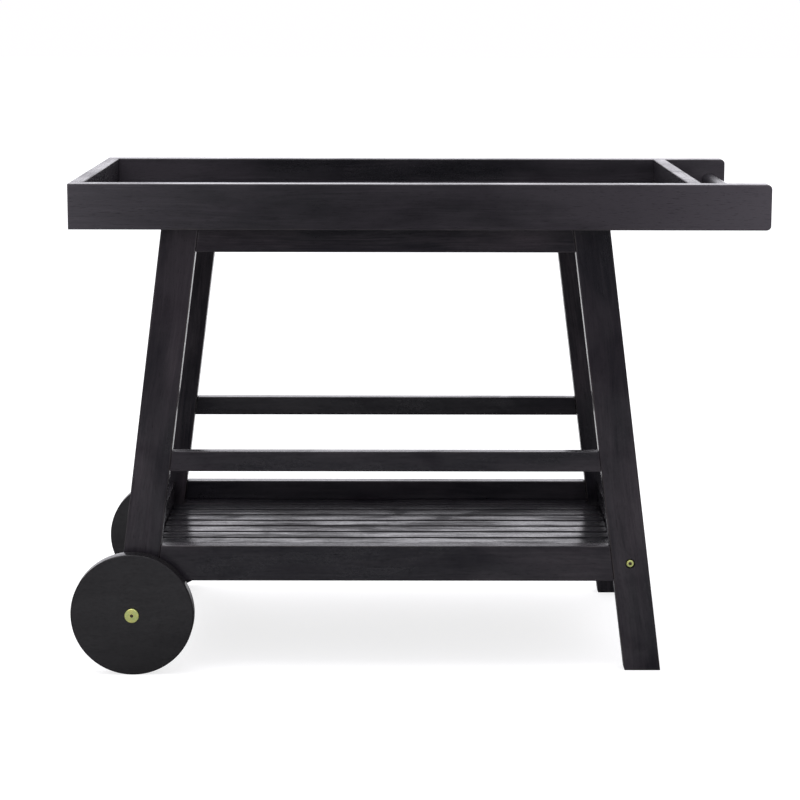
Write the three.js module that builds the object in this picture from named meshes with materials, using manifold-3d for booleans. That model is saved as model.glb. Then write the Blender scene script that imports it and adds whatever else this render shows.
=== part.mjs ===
// A two-wheeled bar cart in black-stained solid wood, in millimetres, +Z up.
// A railed tray with a slatted floor stands on four splayed legs. Its side rails run on past
// one end and carry a round handle bar. A slatted bottle shelf hangs low between the legs
// and a guard rail crosses each side half-way up. The two legs at the far end from the handle
// are cut short and a steel axle through them carries two solid wooden wheels.
// Origin: on the floor under the middle of the whole cart. +X points to the handle end.
import * as THREE from 'three';
import { mergeVertices } from 'three/addons/utils/BufferGeometryUtils.js';
import Module from 'manifold-3d';

// Driving dimensions -----------------------------------------------------------------------
const HEIGHT = 750;            // floor to the top of the tray rails
const TRAY_WIDTH = 550;        // over the side rails
const TRAY_LENGTH = 944;       // over the end boards
const HANDLE_REACH = 101;      // side rails past the end board at the handle
const RAIL_HEIGHT = 68;        // tray side rails and end boards
const SIDE_RAIL = 30;          // thickness of a tray side rail
const END_BOARD = 20;          // thickness of a tray end board
const RAIL_CORNER = 7;         // rounding of the side rails' handle ends
const HANDLE_DIAMETER = 24;
const HANDLE_SETBACK = 26;     // bar centre to the rail ends
const HANDLE_SOCKET = 12;      // depth of the blind hole in each side rail
const TRAY_FLOOR_DROP = 36;    // rail top to the floor slats
const INSET = 20;              // side rail face to leg face
const LEG_WIDTH = 55.3;        // level width of a leg seen from the side
const LEG_THICK = 28;
const LEG_TOP = 335.6;         // outer edge of a leg at the tray, from the legs' middle
const SPLAY = 0.1297;          // sideways run of a leg per millimetre down
const AXLE_TO_LEG_END = 36;    // axle centre to the foot of a short leg
const AXLE_OUTWARD = 1.8;      // axle centre, outward of the middle of a short leg's width
const APRON_HEIGHT = 35.4;
const RAIL_THICK = 22;         // aprons, shelf rails and the cross rails
const GUARD_THICK = 20;
const GUARD_TOP = 342.7;
const GUARD_HEIGHT = 30.6;
const SHELF_TOP = 196;         // top edge of the shelf rails
const SHELF_HEIGHT = 54.5;
const SHELF_FLOOR = 165;       // top of the shelf slats
const SLATS = 11;              // in each floor
const SLAT_THICK = 12;
const SLAT_GAP = 4.5;
const BATTEN_WIDTH = 40;
const WHEEL_RADIUS = 94;
const WHEEL_THICK = 25;
const WHEEL_EDGE = 3.5;        // rounding of the wheel's arrises
const AXLE_DIAMETER = 12;
const BUSH_DIAMETER = 18;
const WASHER_DIAMETER = 24;
const WASHER_THICK = 2;
const CAP_HEAD = 22;           // diameter of the axle's cap bolts
const CAP_HEAD_HEIGHT = 4;
const BOLT_HEAD = 12;          // diameter of the leg bolts' heads
const BOLT_HEAD_HEIGHT = 5;
const BOLT_SHANK = 8;
const BOLT_LENGTH = 62;        // under the head
const COUNTERBORE = 15;
const COUNTERBORE_DEPTH = 6;
const GAP = 0.3;               // between pieces that touch

// Derived places ---------------------------------------------------------------------------
const trayBottom = HEIGHT - RAIL_HEIGHT;
const trayEnd = TRAY_LENGTH / 2;
const railEnd = trayEnd + HANDLE_REACH;
const halfWidth = TRAY_WIDTH / 2;
const legFace = halfWidth - INSET;                  // outer face of the legs, from the middle
const legBack = legFace - LEG_THICK;
const legTop = trayBottom - GAP;
const legOuter = (z) => LEG_TOP + SPLAY * (trayBottom - z);
const legCentre = (z) => legOuter(z) - LEG_WIDTH / 2;
const legInner = (z) => legOuter(z) - LEG_WIDTH;
const axleX = -legCentre(WHEEL_RADIUS) - AXLE_OUTWARD;
const boltZ = SHELF_TOP - SHELF_HEIGHT / 2;
const middle = (railEnd + (axleX - WHEEL_RADIUS)) / 2;   // of the whole cart, along X

const wasm = await Module();
wasm.setup();

// Materials: one of its own for every piece --------------------------------------------------
const finish = {
  wood: [0x3a373a, 0.45, 0.0],
  slat: [0x423f44, 0.4, 0.0],
  wheel: [0x2e2c2e, 0.5, 0.0],
  brass: [0xb4b46a, 0.35, 1.0],
  steel: [0xa9acb0, 0.35, 1.0],
  nylon: [0xdedccf, 0.5, 0.0],
};
const materialOf = (kind) => {
  const [color, roughness, metalness] = finish[kind];
  return new THREE.MeshStandardMaterial({ color, roughness, metalness });
};

const cart = new THREE.Group();
cart.position.x = -middle;
const add = (name, geometry, kind, x = 0, y = 0, z = 0) => {
  const mesh = new THREE.Mesh(geometry, materialOf(kind));
  mesh.name = name;
  mesh.position.set(x, y, z);
  cart.add(mesh);
  return mesh;
};

// Solid helpers ------------------------------------------------------------------------------
const solidOf = (geometry) => {
  const bare = geometry.clone();
  for (const key of Object.keys(bare.attributes)) if (key !== 'position') bare.deleteAttribute(key);
  const merged = mergeVertices(bare, 1e-4);
  return new wasm.Manifold(new wasm.Mesh({
    numProp: 3,
    vertProperties: new Float32Array(merged.attributes.position.array),
    triVerts: new Uint32Array(merged.index.array),
  }));
};
const geometryOf = (solid) => {
  const mesh = solid.getMesh();
  const geometry = new THREE.BufferGeometry();
  geometry.setAttribute('position', new THREE.BufferAttribute(new Float32Array(mesh.vertProperties), 3));
  geometry.setIndex(new THREE.BufferAttribute(new Uint32Array(mesh.triVerts), 1));
  geometry.computeVertexNormals();
  return geometry;
};
const cut = (geometry, ...tools) => {
  let solid = solidOf(geometry);
  for (const tool of tools) solid = solid.subtract(solidOf(tool));
  return geometryOf(solid);
};
// A rod along Y, from one depth to another.
const rodY = (diameter, x, y0, y1, z, sides = 24) => {
  const rod = new THREE.CylinderGeometry(diameter / 2, diameter / 2, y1 - y0, sides);
  rod.translate(x, (y0 + y1) / 2, z);
  return rod;
};
// A rod along X.
const rodX = (diameter, x0, x1, y, z, sides = 24) => {
  const rod = new THREE.CylinderGeometry(diameter / 2, diameter / 2, x1 - x0, sides);
  rod.rotateZ(Math.PI / 2);
  rod.translate((x0 + x1) / 2, y, z);
  return rod;
};
// A flat outline in X and Z, given thickness from y0 to y1.
const plate = (points, y0, y1) => {
  const shape = points instanceof THREE.Shape ? points : new THREE.Shape(points.map(([x, z]) => new THREE.Vector2(x, z)));
  const geometry = new THREE.ExtrudeGeometry(shape, { depth: y1 - y0, bevelEnabled: false, curveSegments: 6 });
  geometry.rotateX(Math.PI / 2);
  geometry.translate(0, y1, 0);
  return geometry;
};
const board = (name, x, y, z, kind = 'wood') => add(
  name, new THREE.BoxGeometry(x[1] - x[0], y[1] - y[0], z[1] - z[0]), kind,
  (x[0] + x[1]) / 2, (y[0] + y[1]) / 2, (z[0] + z[1]) / 2);

// Front is -Y, back is +Y. Left is the wheel end, right is the handle end.
const sides = [['front', -1], ['back', 1]];
const ends = [['left', -1], ['right', 1]];
// Depths from outer to inner, put in rising order for one side of the cart.
const depths = (side, outer, inner) => (side < 0 ? [-outer, -inner] : [inner, outer]);

// Tray side rails: full length, with the handle ends rounded and a blind socket for the bar ----
const handleX = railEnd - HANDLE_SETBACK;
const handleZ = HEIGHT - TRAY_FLOOR_DROP;
for (const [where, side] of sides) {
  const c = RAIL_CORNER;
  const outline = new THREE.Shape();
  outline.moveTo(-trayEnd, trayBottom);
  outline.lineTo(railEnd - c, trayBottom);
  outline.absarc(railEnd - c, trayBottom + c, c, -Math.PI / 2, 0, false);
  outline.lineTo(railEnd, HEIGHT - c);
  outline.absarc(railEnd - c, HEIGHT - c, c, 0, Math.PI / 2, false);
  outline.lineTo(-trayEnd, HEIGHT);
  outline.closePath();
  const [y0, y1] = depths(side, halfWidth, halfWidth - SIDE_RAIL);
  const inner = halfWidth - SIDE_RAIL;
  const [s0, s1] = depths(side, inner + HANDLE_SOCKET, inner - 5);
  add(`tray_side_rail_${where}`,
    cut(plate(outline, y0, y1), rodY(HANDLE_DIAMETER + 2 * GAP, handleX, s0, s1, handleZ)), 'wood');
}

// Tray end boards, between the side rails -----------------------------------------------------
const trayInner = halfWidth - SIDE_RAIL - GAP;
for (const [where, end] of ends) {
  const x = [end * trayEnd, end * (trayEnd - END_BOARD)].sort((a, b) => a - b);
  board(`tray_end_board_${where}`, x, [-trayInner, trayInner], [trayBottom, HEIGHT]);
}

// Handle bar, glued into both side rails ------------------------------------------------------
const handleHalf = halfWidth - SIDE_RAIL + HANDLE_SOCKET - GAP;
add('handle_bar', rodY(HANDLE_DIAMETER, 0, -handleHalf, handleHalf, 0, 32), 'wood', handleX, 0, handleZ);

// Tray floor: slats along the tray, screwed to three battens under them -------------------------
const slatDepths = (room, index) => {
  const width = (room - (SLATS + 1) * SLAT_GAP) / SLATS;
  const start = -room / 2 + SLAT_GAP + index * (width + SLAT_GAP);
  return [start, start + width];
};
const two = (number) => String(number).padStart(2, '0');
const trayFloor = HEIGHT - TRAY_FLOOR_DROP;
const traySlatEnd = trayEnd - END_BOARD - GAP;
for (let index = 0; index < SLATS; index += 1) {
  board(`tray_slat_${two(index + 1)}`, [-traySlatEnd, traySlatEnd],
    slatDepths(2 * (halfWidth - SIDE_RAIL), index), [trayFloor - SLAT_THICK, trayFloor], 'slat');
}
const topCrossX = legCentre(trayBottom - APRON_HEIGHT / 2);
for (const [where, x] of [['left', -topCrossX], ['middle', 0], ['right', topCrossX]]) {
  board(`tray_batten_${where}`, [x - BATTEN_WIDTH / 2, x + BATTEN_WIDTH / 2], [-trayInner, trayInner],
    [trayBottom, trayFloor - SLAT_THICK - GAP]);
}

// Legs: splayed along the cart, upright across it ---------------------------------------------
// The handle-end pair reach the floor. The wheel-end pair stop below the axle.
for (const [where, side] of sides) {
  for (const [whichEnd, end] of ends) {
    const foot = end > 0 ? 0 : WHEEL_RADIUS - AXLE_TO_LEG_END;
    const [y0, y1] = depths(side, legFace, legBack);
    let outline = [[legInner(foot), foot], [legOuter(foot), foot], [legOuter(legTop), legTop], [legInner(legTop), legTop]];
    if (end < 0) outline = outline.map(([x, z]) => [-x, z]).reverse();
    const boltX = end * legCentre(boltZ);
    const [c0, c1] = depths(side, legFace + 5, legFace - COUNTERBORE_DEPTH);
    const tools = [
      rodY(COUNTERBORE, boltX, c0, c1, boltZ),
      rodY(BOLT_SHANK + 2 * GAP, boltX, y0 - 5, y1 + 5, boltZ),
    ];
    if (end < 0) tools.push(rodY(AXLE_DIAMETER + 2 * GAP, axleX, y0 - 5, y1 + 5, WHEEL_RADIUS));
    add(`leg_${where}_${whichEnd}`, cut(plate(outline, y0, y1), ...tools), 'wood');
  }
}

// Rails along the cart, between the legs, their ends cut to the splay ---------------------------
const splayedRail = (name, side, thick, z0, z1) => {
  const lower = legInner(z0) - GAP;
  const upper = legInner(z1) - GAP;
  const [y0, y1] = depths(side, legFace, legFace - thick);
  add(name, plate([[-lower, z0], [lower, z0], [upper, z1], [-upper, z1]], y0, y1), 'wood');
};
for (const [where, side] of sides) {
  splayedRail(`apron_${where}`, side, RAIL_THICK, trayBottom - APRON_HEIGHT, legTop);
  splayedRail(`guard_rail_${where}`, side, GUARD_THICK, GUARD_TOP - GUARD_HEIGHT, GUARD_TOP);
  splayedRail(`shelf_rail_${where}`, side, RAIL_THICK, SHELF_TOP - SHELF_HEIGHT, SHELF_TOP);
}

// Cross rails, from each front leg to the back leg behind it ------------------------------------
// The tray's end battens sit on the upper pair. The lower pair take the leg bolts in their ends
// and have a cross hole for each bolt's barrel nut.
const crossHalf = legBack - GAP;
const BARREL_DIAMETER = 12;
const barrelY = legFace - COUNTERBORE_DEPTH - BOLT_LENGTH + 8;
for (const [where, end] of ends) {
  board(`apron_${where}`, [end * topCrossX - RAIL_THICK / 2, end * topCrossX + RAIL_THICK / 2],
    [-crossHalf, crossHalf], [trayBottom - APRON_HEIGHT, legTop]);
  const x = end * legCentre(boltZ);
  const rail = new THREE.BoxGeometry(RAIL_THICK, 2 * crossHalf, SHELF_HEIGHT);
  rail.translate(x, 0, boltZ);
  const boltHole = BOLT_SHANK + 2 * GAP;
  const holeEnd = barrelY - 12;
  add(`shelf_cross_rail_${where}`, cut(rail,
    rodY(boltHole, x, -crossHalf - 5, -holeEnd, boltZ),
    rodY(boltHole, x, holeEnd, crossHalf + 5, boltZ),
    rodX(BARREL_DIAMETER, x - RAIL_THICK, x + RAIL_THICK, -barrelY, boltZ),
    rodX(BARREL_DIAMETER, x - RAIL_THICK, x + RAIL_THICK, barrelY, boltZ)), 'wood');
}

// Shelf floor: slats on three battens that span from shelf rail to shelf rail -------------------
const shelfRoom = 2 * (legFace - RAIL_THICK);
const slatEnd = legCentre(boltZ) - RAIL_THICK / 2 - GAP;
const shortSlatEnd = legInner(SHELF_FLOOR) - GAP;       // the outer two stop at the legs
for (let index = 0; index < SLATS; index += 1) {
  const outermost = index === 0 || index === SLATS - 1;
  const reach = outermost ? shortSlatEnd : slatEnd;
  board(`shelf_slat_${two(index + 1)}`, [-reach, reach], slatDepths(shelfRoom, index),
    [SHELF_FLOOR - SLAT_THICK, SHELF_FLOOR], 'slat');
}
const battenReach = legInner(boltZ) - BATTEN_WIDTH;
for (const [where, x] of [['left', -battenReach], ['middle', 0], ['right', battenReach]]) {
  board(`shelf_batten_${where}`, [x - BATTEN_WIDTH / 2, x + BATTEN_WIDTH / 2],
    [-shelfRoom / 2 + GAP, shelfRoom / 2 - GAP], [SHELF_TOP - SHELF_HEIGHT, SHELF_FLOOR - SLAT_THICK - GAP]);
}

// Wheels, bushes, washers, axle and its cap bolts -----------------------------------------------
// A ring turned about Y, with its outer arrises rounded.
const ring = (bore, radius, thick, round = 0, segments = 24) => {
  const half = thick / 2;
  const points = [new THREE.Vector2(bore / 2, -half)];
  if (round > 0) {
    for (let step = 0; step <= 2; step += 1) {
      const turn = -Math.PI / 2 + (step / 2) * (Math.PI / 2);
      points.push(new THREE.Vector2(radius - round + round * Math.cos(turn), -half + round + round * Math.sin(turn)));
    }
    for (let step = 0; step <= 2; step += 1) {
      const turn = (step / 2) * (Math.PI / 2);
      points.push(new THREE.Vector2(radius - round + round * Math.cos(turn), half - round + round * Math.sin(turn)));
    }
  } else {
    points.push(new THREE.Vector2(radius, -half), new THREE.Vector2(radius, half));
  }
  points.push(new THREE.Vector2(bore / 2, half), new THREE.Vector2(bore / 2, -half));
  return new THREE.LatheGeometry(points, segments);
};
const washerY = legFace + GAP + WASHER_THICK / 2;
const wheelY = legFace + GAP + WASHER_THICK + GAP + WHEEL_THICK / 2;
const wheelFace = wheelY + WHEEL_THICK / 2;
const axleHalf = wheelFace + 0.5;
const boreClearance = 0.25;
for (const [where, side] of sides) {
  add(`wheel_${where}`, ring(BUSH_DIAMETER + 2 * GAP, WHEEL_RADIUS, WHEEL_THICK, WHEEL_EDGE, 96), 'wheel',
    axleX, side * wheelY, WHEEL_RADIUS);
  add(`wheel_bush_${where}`, ring(AXLE_DIAMETER + 2 * boreClearance, BUSH_DIAMETER / 2, WHEEL_THICK), 'nylon',
    axleX, side * wheelY, WHEEL_RADIUS);
  add(`axle_washer_${where}`, ring(AXLE_DIAMETER + 2 * boreClearance, WASHER_DIAMETER / 2, WASHER_THICK), 'steel',
    axleX, side * washerY, WHEEL_RADIUS);
}
// The axle's ends are drilled for the cap bolts.
const CAP_SHANK = 6;
const CAP_SHANK_LENGTH = 18;
const drill = CAP_SHANK / 2 + GAP;
const drillEnd = axleHalf - CAP_SHANK_LENGTH - 2;
add('axle', new THREE.LatheGeometry([
  [0, -drillEnd], [drill, -drillEnd], [drill, -axleHalf], [AXLE_DIAMETER / 2, -axleHalf],
  [AXLE_DIAMETER / 2, axleHalf], [drill, axleHalf], [drill, drillEnd], [0, drillEnd],
].map(([r, y]) => new THREE.Vector2(r, y)), 24), 'steel', axleX, 0, WHEEL_RADIUS);

// A hex-socket bolt turned about Y, its head toward +Y and the underside of the head at y = 0.
const bolt = (head, headHeight, shank, length, socket) => {
  const rim = headHeight * 0.25;
  const turned = new THREE.LatheGeometry([
    [0, -length], [shank / 2 - 0.6, -length], [shank / 2, -length + 0.8], [shank / 2, 0], [head / 2, 0],
    [head / 2, headHeight - rim], [head / 2 - rim, headHeight], [0, headHeight],
  ].map(([r, y]) => new THREE.Vector2(r, y)), 24);
  const key = new THREE.CylinderGeometry(socket / Math.sqrt(3), socket / Math.sqrt(3), 2 * headHeight * 0.6, 6);
  key.translate(0, headHeight, 0);
  return cut(turned, key);
};
for (const [where, side] of sides) {
  const cap = bolt(CAP_HEAD, CAP_HEAD_HEIGHT, CAP_SHANK, CAP_SHANK_LENGTH, 5);
  const capMesh = add(`axle_cap_bolt_${where}`, cap, 'brass', axleX, side * (axleHalf + GAP), WHEEL_RADIUS);
  if (side < 0) capMesh.rotation.x = Math.PI;
  for (const [whichEnd, end] of ends) {
    const legBolt = bolt(BOLT_HEAD, BOLT_HEAD_HEIGHT, BOLT_SHANK, BOLT_LENGTH, 5);
    const boltMesh = add(`leg_bolt_${where}_${whichEnd}`, legBolt, 'brass',
      end * legCentre(boltZ), side * (legFace - COUNTERBORE_DEPTH + GAP), boltZ);
    if (side < 0) boltMesh.rotation.x = Math.PI;
  }
}

const barCart = new THREE.Group();
barCart.add(cart);
export default barCart;
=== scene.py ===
import math

import bmesh
import bpy
from mathutils import Matrix, Vector


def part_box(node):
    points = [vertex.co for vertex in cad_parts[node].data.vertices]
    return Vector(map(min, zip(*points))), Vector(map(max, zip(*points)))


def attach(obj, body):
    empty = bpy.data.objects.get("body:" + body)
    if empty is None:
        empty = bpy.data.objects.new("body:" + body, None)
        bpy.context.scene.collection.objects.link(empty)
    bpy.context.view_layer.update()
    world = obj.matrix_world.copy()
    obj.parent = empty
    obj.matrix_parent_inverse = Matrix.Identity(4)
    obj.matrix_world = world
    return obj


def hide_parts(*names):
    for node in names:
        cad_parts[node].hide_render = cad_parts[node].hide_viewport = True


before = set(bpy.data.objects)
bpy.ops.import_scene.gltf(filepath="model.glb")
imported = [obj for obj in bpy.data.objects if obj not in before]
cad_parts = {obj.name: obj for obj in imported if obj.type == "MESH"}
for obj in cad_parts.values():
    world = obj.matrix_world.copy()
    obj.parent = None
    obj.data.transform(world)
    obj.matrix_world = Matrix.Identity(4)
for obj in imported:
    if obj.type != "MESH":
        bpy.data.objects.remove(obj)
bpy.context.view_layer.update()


# ---- Tray side rails ----------------------------------------------------------------------
# Two long boards of black-stained, satin-lacquered hardwood on edge. They run on past the end
# board to hold the handle bar, which is glued into a blind socket in each inner face.
# Their handle ends are rounded and every arris is eased with sandpaper.
RAIL_ARRIS = 0.0009
RAIL_END_ROUNDING = 0.007
SOCKET_PLAY = 0.0003
RUBBED_BAND = 1.6                   # a rubbed edge is this many arris widths across
SHARP_ARRIS = math.radians(40)      # a steeper turn than this between two faces stays a sharp edge
DEAD_FLAT = 0.9999                  # how closely a flat side's normal follows the way it faces
HAIR = 1e-4                         # two corners that are closer than this are at one level

STAIN_DARK = (0.0048, 0.0043, 0.0072, 1)
STAIN_LIGHT = (0.034, 0.0275, 0.033, 1)
STAIN_RUBBED = (0.060, 0.048, 0.044, 1)
STAIN_WORN_THIN = (0.049, 0.0455, 0.0500, 1)     # what a board's handled ends add to its colour
LACQUER_ROUGHNESS = 0.2
LACQUER_IOR = 1.5


def choose(piece, kind, wanted):
    """Selects the faces, edges or verts of a piece in edit mode for which wanted() is true."""
    mode = {"faces": "FACE", "edges": "EDGE", "verts": "VERT"}[kind]
    bpy.ops.mesh.select_mode(type=mode)
    bpy.ops.mesh.select_all(action="DESELECT")
    shape = bmesh.from_edit_mesh(piece.data)
    for part in getattr(shape, kind):
        if wanted(part):
            part.select_set(True)
    shape.select_flush_mode()
    bmesh.update_edit_mesh(piece.data)


def corners_of(node):
    """A node's lowest and highest corners."""
    return [Vector(corner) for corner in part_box(node)]


def saw_board(name, node):
    """A board of the node's own length, width and thickness, with square arrises."""
    low, high = corners_of(node)
    bpy.ops.object.select_all(action="DESELECT")
    bpy.ops.mesh.primitive_cube_add(size=1, location=(low + high) / 2, scale=high - low)
    piece = bpy.context.object
    piece.name = piece.data.name = name
    bpy.ops.object.transform_apply(location=True, rotation=True, scale=True)
    return piece


def ease_arrises(piece, arris, sides):
    """Rounds every arris and leaves a narrow ring round each side, for the rubbed-edge mask.

    sides are the directions that the board's flat sides face.
    """
    bpy.ops.object.mode_set(mode="EDIT")
    choose(piece, "edges", lambda edge: edge.calc_face_angle(0) > SHARP_ARRIS)
    bpy.ops.mesh.bevel(offset=arris, offset_type="OFFSET", segments=3, profile=0.5, affect="EDGES")
    choose(piece, "faces", lambda face: any(face.normal.dot(side) > DEAD_FLAT for side in sides))
    bpy.ops.mesh.inset(thickness=RUBBED_BAND * arris, depth=0, use_individual=True)
    shape = bmesh.from_edit_mesh(piece.data)
    flat = {v.index for face in shape.faces if face.select for v in face.verts}
    bpy.ops.object.mode_set(mode="OBJECT")
    mask = piece.data.attributes.new("arris", "FLOAT", "POINT")
    mask.data.foreach_set("value", [float(v.index not in flat) for v in piece.data.vertices])


def facing(piece):
    """The directions that a board's sides face, before its arrises are eased."""
    return [face.normal.copy() for face in piece.data.polygons]


def round_bar(name, centre, radius, length, sides, turn):
    """A plain round bar. turn is how it is turned from upright."""
    bpy.ops.object.select_all(action="DESELECT")
    bpy.ops.mesh.primitive_cylinder_add(vertices=sides, radius=radius, depth=length,
                                        location=centre, rotation=turn)
    piece = bpy.context.object
    piece.name = piece.data.name = name
    bpy.ops.object.transform_apply(location=True, rotation=True, scale=True)
    return piece


def drill(piece, centre, along, diameter, length, sides=40):
    """Drills a round hole. centre is the middle of the drill's length."""
    turn = Vector((0, 0, 1)).rotation_difference(Vector(along)).to_euler()
    bit = round_bar("drill_bit", centre, diameter / 2, length, sides, turn)
    bpy.context.view_layer.objects.active = piece
    cut = piece.modifiers.new("hole", "BOOLEAN")
    cut.operation, cut.solver, cut.object = "DIFFERENCE", "EXACT", bit
    bpy.ops.object.modifier_apply(modifier=cut.name)
    bpy.data.objects.remove(bit)


GRAIN_STEP = Vector((0.379, 0.283, 0.417))      # how far apart in the log two boards were cut
boards_cut = 0


def lay_grain(piece, along, across, figure=0.6, worn_ends=0.0):
    """Gives each corner its place in the log: along, across and through the grain.

    figure is how much lighter this board's bold figure shows through the stain; on the back legs it
    also holds painted fill light, which lifts them out of the shade under the tray. worn_ends is how
    thin the stain has worn at the board's ends; it is at full strength in the middle.
    """
    global boards_cut
    boards_cut += 1
    turn_across, turn_through = boards_cut % 7, boards_cut % 5
    along, across = Vector(along).normalized(), Vector(across).normalized()
    through = along.cross(across)
    spots = [v.co for v in piece.data.vertices]
    centre = Vector([(min(axis) + max(axis)) / 2 for axis in zip(*spots)])
    grain = piece.data.attributes.new("grain", "FLOAT_VECTOR", "POINT")
    half = max(abs((spot - centre).dot(along)) for spot in spots)
    places, reach = [], []
    for spot in spots:
        place = spot - centre
        reach.append(math.sqrt(worn_ends) * place.dot(along) / half)
        places += [place.dot(along) + boards_cut * GRAIN_STEP.x,
                   place.dot(across) + turn_across * GRAIN_STEP.y,
                   place.dot(through) + turn_through * GRAIN_STEP.z]
    grain.data.foreach_set("vector", places)
    figure_and_fill = piece.data.attributes.new("figure", "FLOAT", "POINT")
    figure_and_fill.data.foreach_set("value", [figure] * len(spots))
    from_middle = piece.data.attributes.new("from_middle", "FLOAT", "POINT")
    from_middle.data.foreach_set("value", reach)


def finish_piece(piece, material, body, *nodes, sharp=SHARP_ARRIS):
    """Smooths a piece's roundings, gives it its material and puts it on its body."""
    bpy.ops.object.select_all(action="DESELECT")
    piece.select_set(True)
    bpy.context.view_layer.objects.active = piece
    bpy.ops.object.shade_smooth_by_angle(angle=sharp)
    piece.data.materials.clear()
    piece.data.materials.append(material)
    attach(piece, body)
    if nodes:
        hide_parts(*nodes)


def new_group(name, sockets_in, sockets_out):
    """An empty shader node group with its inputs and outputs named."""
    group = bpy.data.node_groups.new(name, "ShaderNodeTree")
    for label, kind, value in sockets_in:
        socket = group.interface.new_socket(label, in_out="INPUT", socket_type="NodeSocket" + kind)
        if value is not None:
            socket.default_value = value
    for label, kind in sockets_out:
        group.interface.new_socket(label, in_out="OUTPUT", socket_type="NodeSocket" + kind)
    return group, group.nodes.new("NodeGroupInput"), group.nodes.new("NodeGroupOutput")


def place_node(tree, kind, links=(), **settings):
    """A shader node with its settings made and its inputs linked, or filled with a value."""
    node = tree.nodes.new("ShaderNode" + kind)
    for key, value in settings.items():
        setattr(node, key, value)
    for socket, source in dict(links).items():
        if isinstance(source, bpy.types.NodeSocket):
            tree.links.new(source, node.inputs[socket])
        else:
            node.inputs[socket].default_value = source
    return node


def stretched_noise(tree, grain, stretch, detail, roughness):
    """Noise drawn out along the grain. stretch is how many features fit in a metre each way."""
    scaled = place_node(tree, "VectorMath", {0: grain, 1: stretch}, operation="MULTIPLY")
    noise = place_node(tree, "TexNoise", {"Vector": scaled.outputs[0], "Scale": 1.0,
                                          "Detail": detail, "Roughness": roughness})
    return noise.outputs["Fac"]


def remap(tree, value, low, high, to_low=0.0, to_high=1.0):
    """Stretches a value's range from low and high to new ends, and cuts off what is past them."""
    node = place_node(tree, "MapRange", {"Value": value, "From Min": low, "From Max": high,
                                         "To Min": to_low, "To Max": to_high})
    return node.outputs["Result"]


def combine(tree, operation, first, second):
    """Adds, subtracts or multiplies two values."""
    return place_node(tree, "Math", {0: first, 1: second}, operation=operation).outputs[0]


def blend_values(tree, factor, first, second, operation="MIX"):
    """Mixes two colours by a factor."""
    mix = place_node(tree, "Mix", data_type="RGBA", blend_type=operation)
    for socket, source in (("Factor_Float", factor), ("A_Color", first), ("B_Color", second)):
        target = next(s for s in mix.inputs if s.identifier == socket)
        if isinstance(source, bpy.types.NodeSocket):
            tree.links.new(source, target)
        else:
            target.default_value = source
    return next(s for s in mix.outputs if s.identifier == "Result_Color")


# Grain under a black stain: broad blotches, soft figure, straight growth lines and short pores.
# Sheen is where the brushed lacquer lies thick enough to shine. The sizes are how many of each
# feature fit in a metre, along the grain, across it and through it.
WANDER = (2.2, 9, 9)
WANDER_SHIFT = (0.0, 0.05, 0.03)
BLOTCHES = (2.6, 8, 8)
FIGURE = (6, 60, 60)
GROWTH_LINES = (10, 330, 330)
PORES = (70, 1500, 1500)
BRUSH_MARKS = (7, 42, 42)
SPECKLE = (190, 460, 460)
BLOTCH_SHARE = 0.75
STREAK_SHARE = 0.4
BOLDER_WHERE_THIN = 2.2
PORE_COLOUR = (0.002, 0.002, 0.002, 1)
PORE_DARKENS = 0.55
PORE_DULLS = 0.15
PORE_BREAKS_FILM = 0.5
LINES_DULL = 0.06
BRUSHED_SHARE = 0.72            # of the film's thickness; the growth lines print through for the rest
LEAST_SPECKLE = 0.7

tree, given, made = new_group(
    "Stained grain",
    [("Grain", "Vector", None), ("Dark stain", "Color", STAIN_DARK),
     ("Light stain", "Color", STAIN_LIGHT), ("Figure", "Float", 0.5),
     ("Matt roughness", "Float", 0.5), ("Lacquer", "Float", 0.6),
     ("Patchiness", "Float", 0.5), ("From middle", "Float", 0.0)],
    [("Colour", "Color"), ("Roughness", "Float"), ("Sheen", "Float"), ("Height", "Float")])
grain = given.outputs["Grain"]
wander = stretched_noise(tree, grain, WANDER, 2, 0.5)
shift = place_node(tree, "VectorMath", {0: wander, 1: WANDER_SHIFT}, operation="MULTIPLY")
bent = place_node(tree, "VectorMath", {0: grain, 1: shift.outputs[0]}, operation="ADD").outputs[0]
blotch = remap(tree, stretched_noise(tree, bent, BLOTCHES, 4, 0.55), 0.44, 0.62)
figure = remap(tree, stretched_noise(tree, bent, FIGURE, 3, 0.55), 0.34, 0.68)
lines = stretched_noise(tree, bent, GROWTH_LINES, 4, 0.62)
pore = remap(tree, stretched_noise(tree, bent, PORES, 2, 0.6), 0.60, 0.70)
streak = combine(tree, "MULTIPLY", remap(tree, lines, 0.36, 0.64), figure)
cloudy = combine(tree, "MULTIPLY", blotch, BLOTCH_SHARE)
streak = combine(tree, "MULTIPLY", streak, STREAK_SHARE)
thin_stain = combine(tree, "MULTIPLY", given.outputs["From middle"], given.outputs["From middle"])
bolder = remap(tree, thin_stain, 0, 1, 1, BOLDER_WHERE_THIN)
strength = combine(tree, "MULTIPLY", combine(tree, "ADD", streak, cloudy),
                   combine(tree, "MULTIPLY", given.outputs["Figure"], bolder))
tone = blend_values(tree, strength, given.outputs["Dark stain"], given.outputs["Light stain"])
tone = blend_values(tree, thin_stain, tone, STAIN_WORN_THIN, "ADD")
colour = blend_values(tree, remap(tree, pore, 0, 1, 0, PORE_DARKENS), tone, PORE_COLOUR)
uneven = combine(tree, "ADD", remap(tree, lines, 0.3, 0.7, -LINES_DULL, LINES_DULL),
                 remap(tree, pore, 0, 1, 0, PORE_DULLS))
dull = combine(tree, "ADD", given.outputs["Matt roughness"], uneven)
brushed = stretched_noise(tree, bent, BRUSH_MARKS, 4, 0.6)
thick = combine(tree, "ADD", combine(tree, "MULTIPLY", brushed, BRUSHED_SHARE),
                combine(tree, "MULTIPLY", lines, 1 - BRUSHED_SHARE))
thin = combine(tree, "MULTIPLY", remap(tree, thick, 0.42, 0.57, 1.0, 0.0), given.outputs["Patchiness"])
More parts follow.
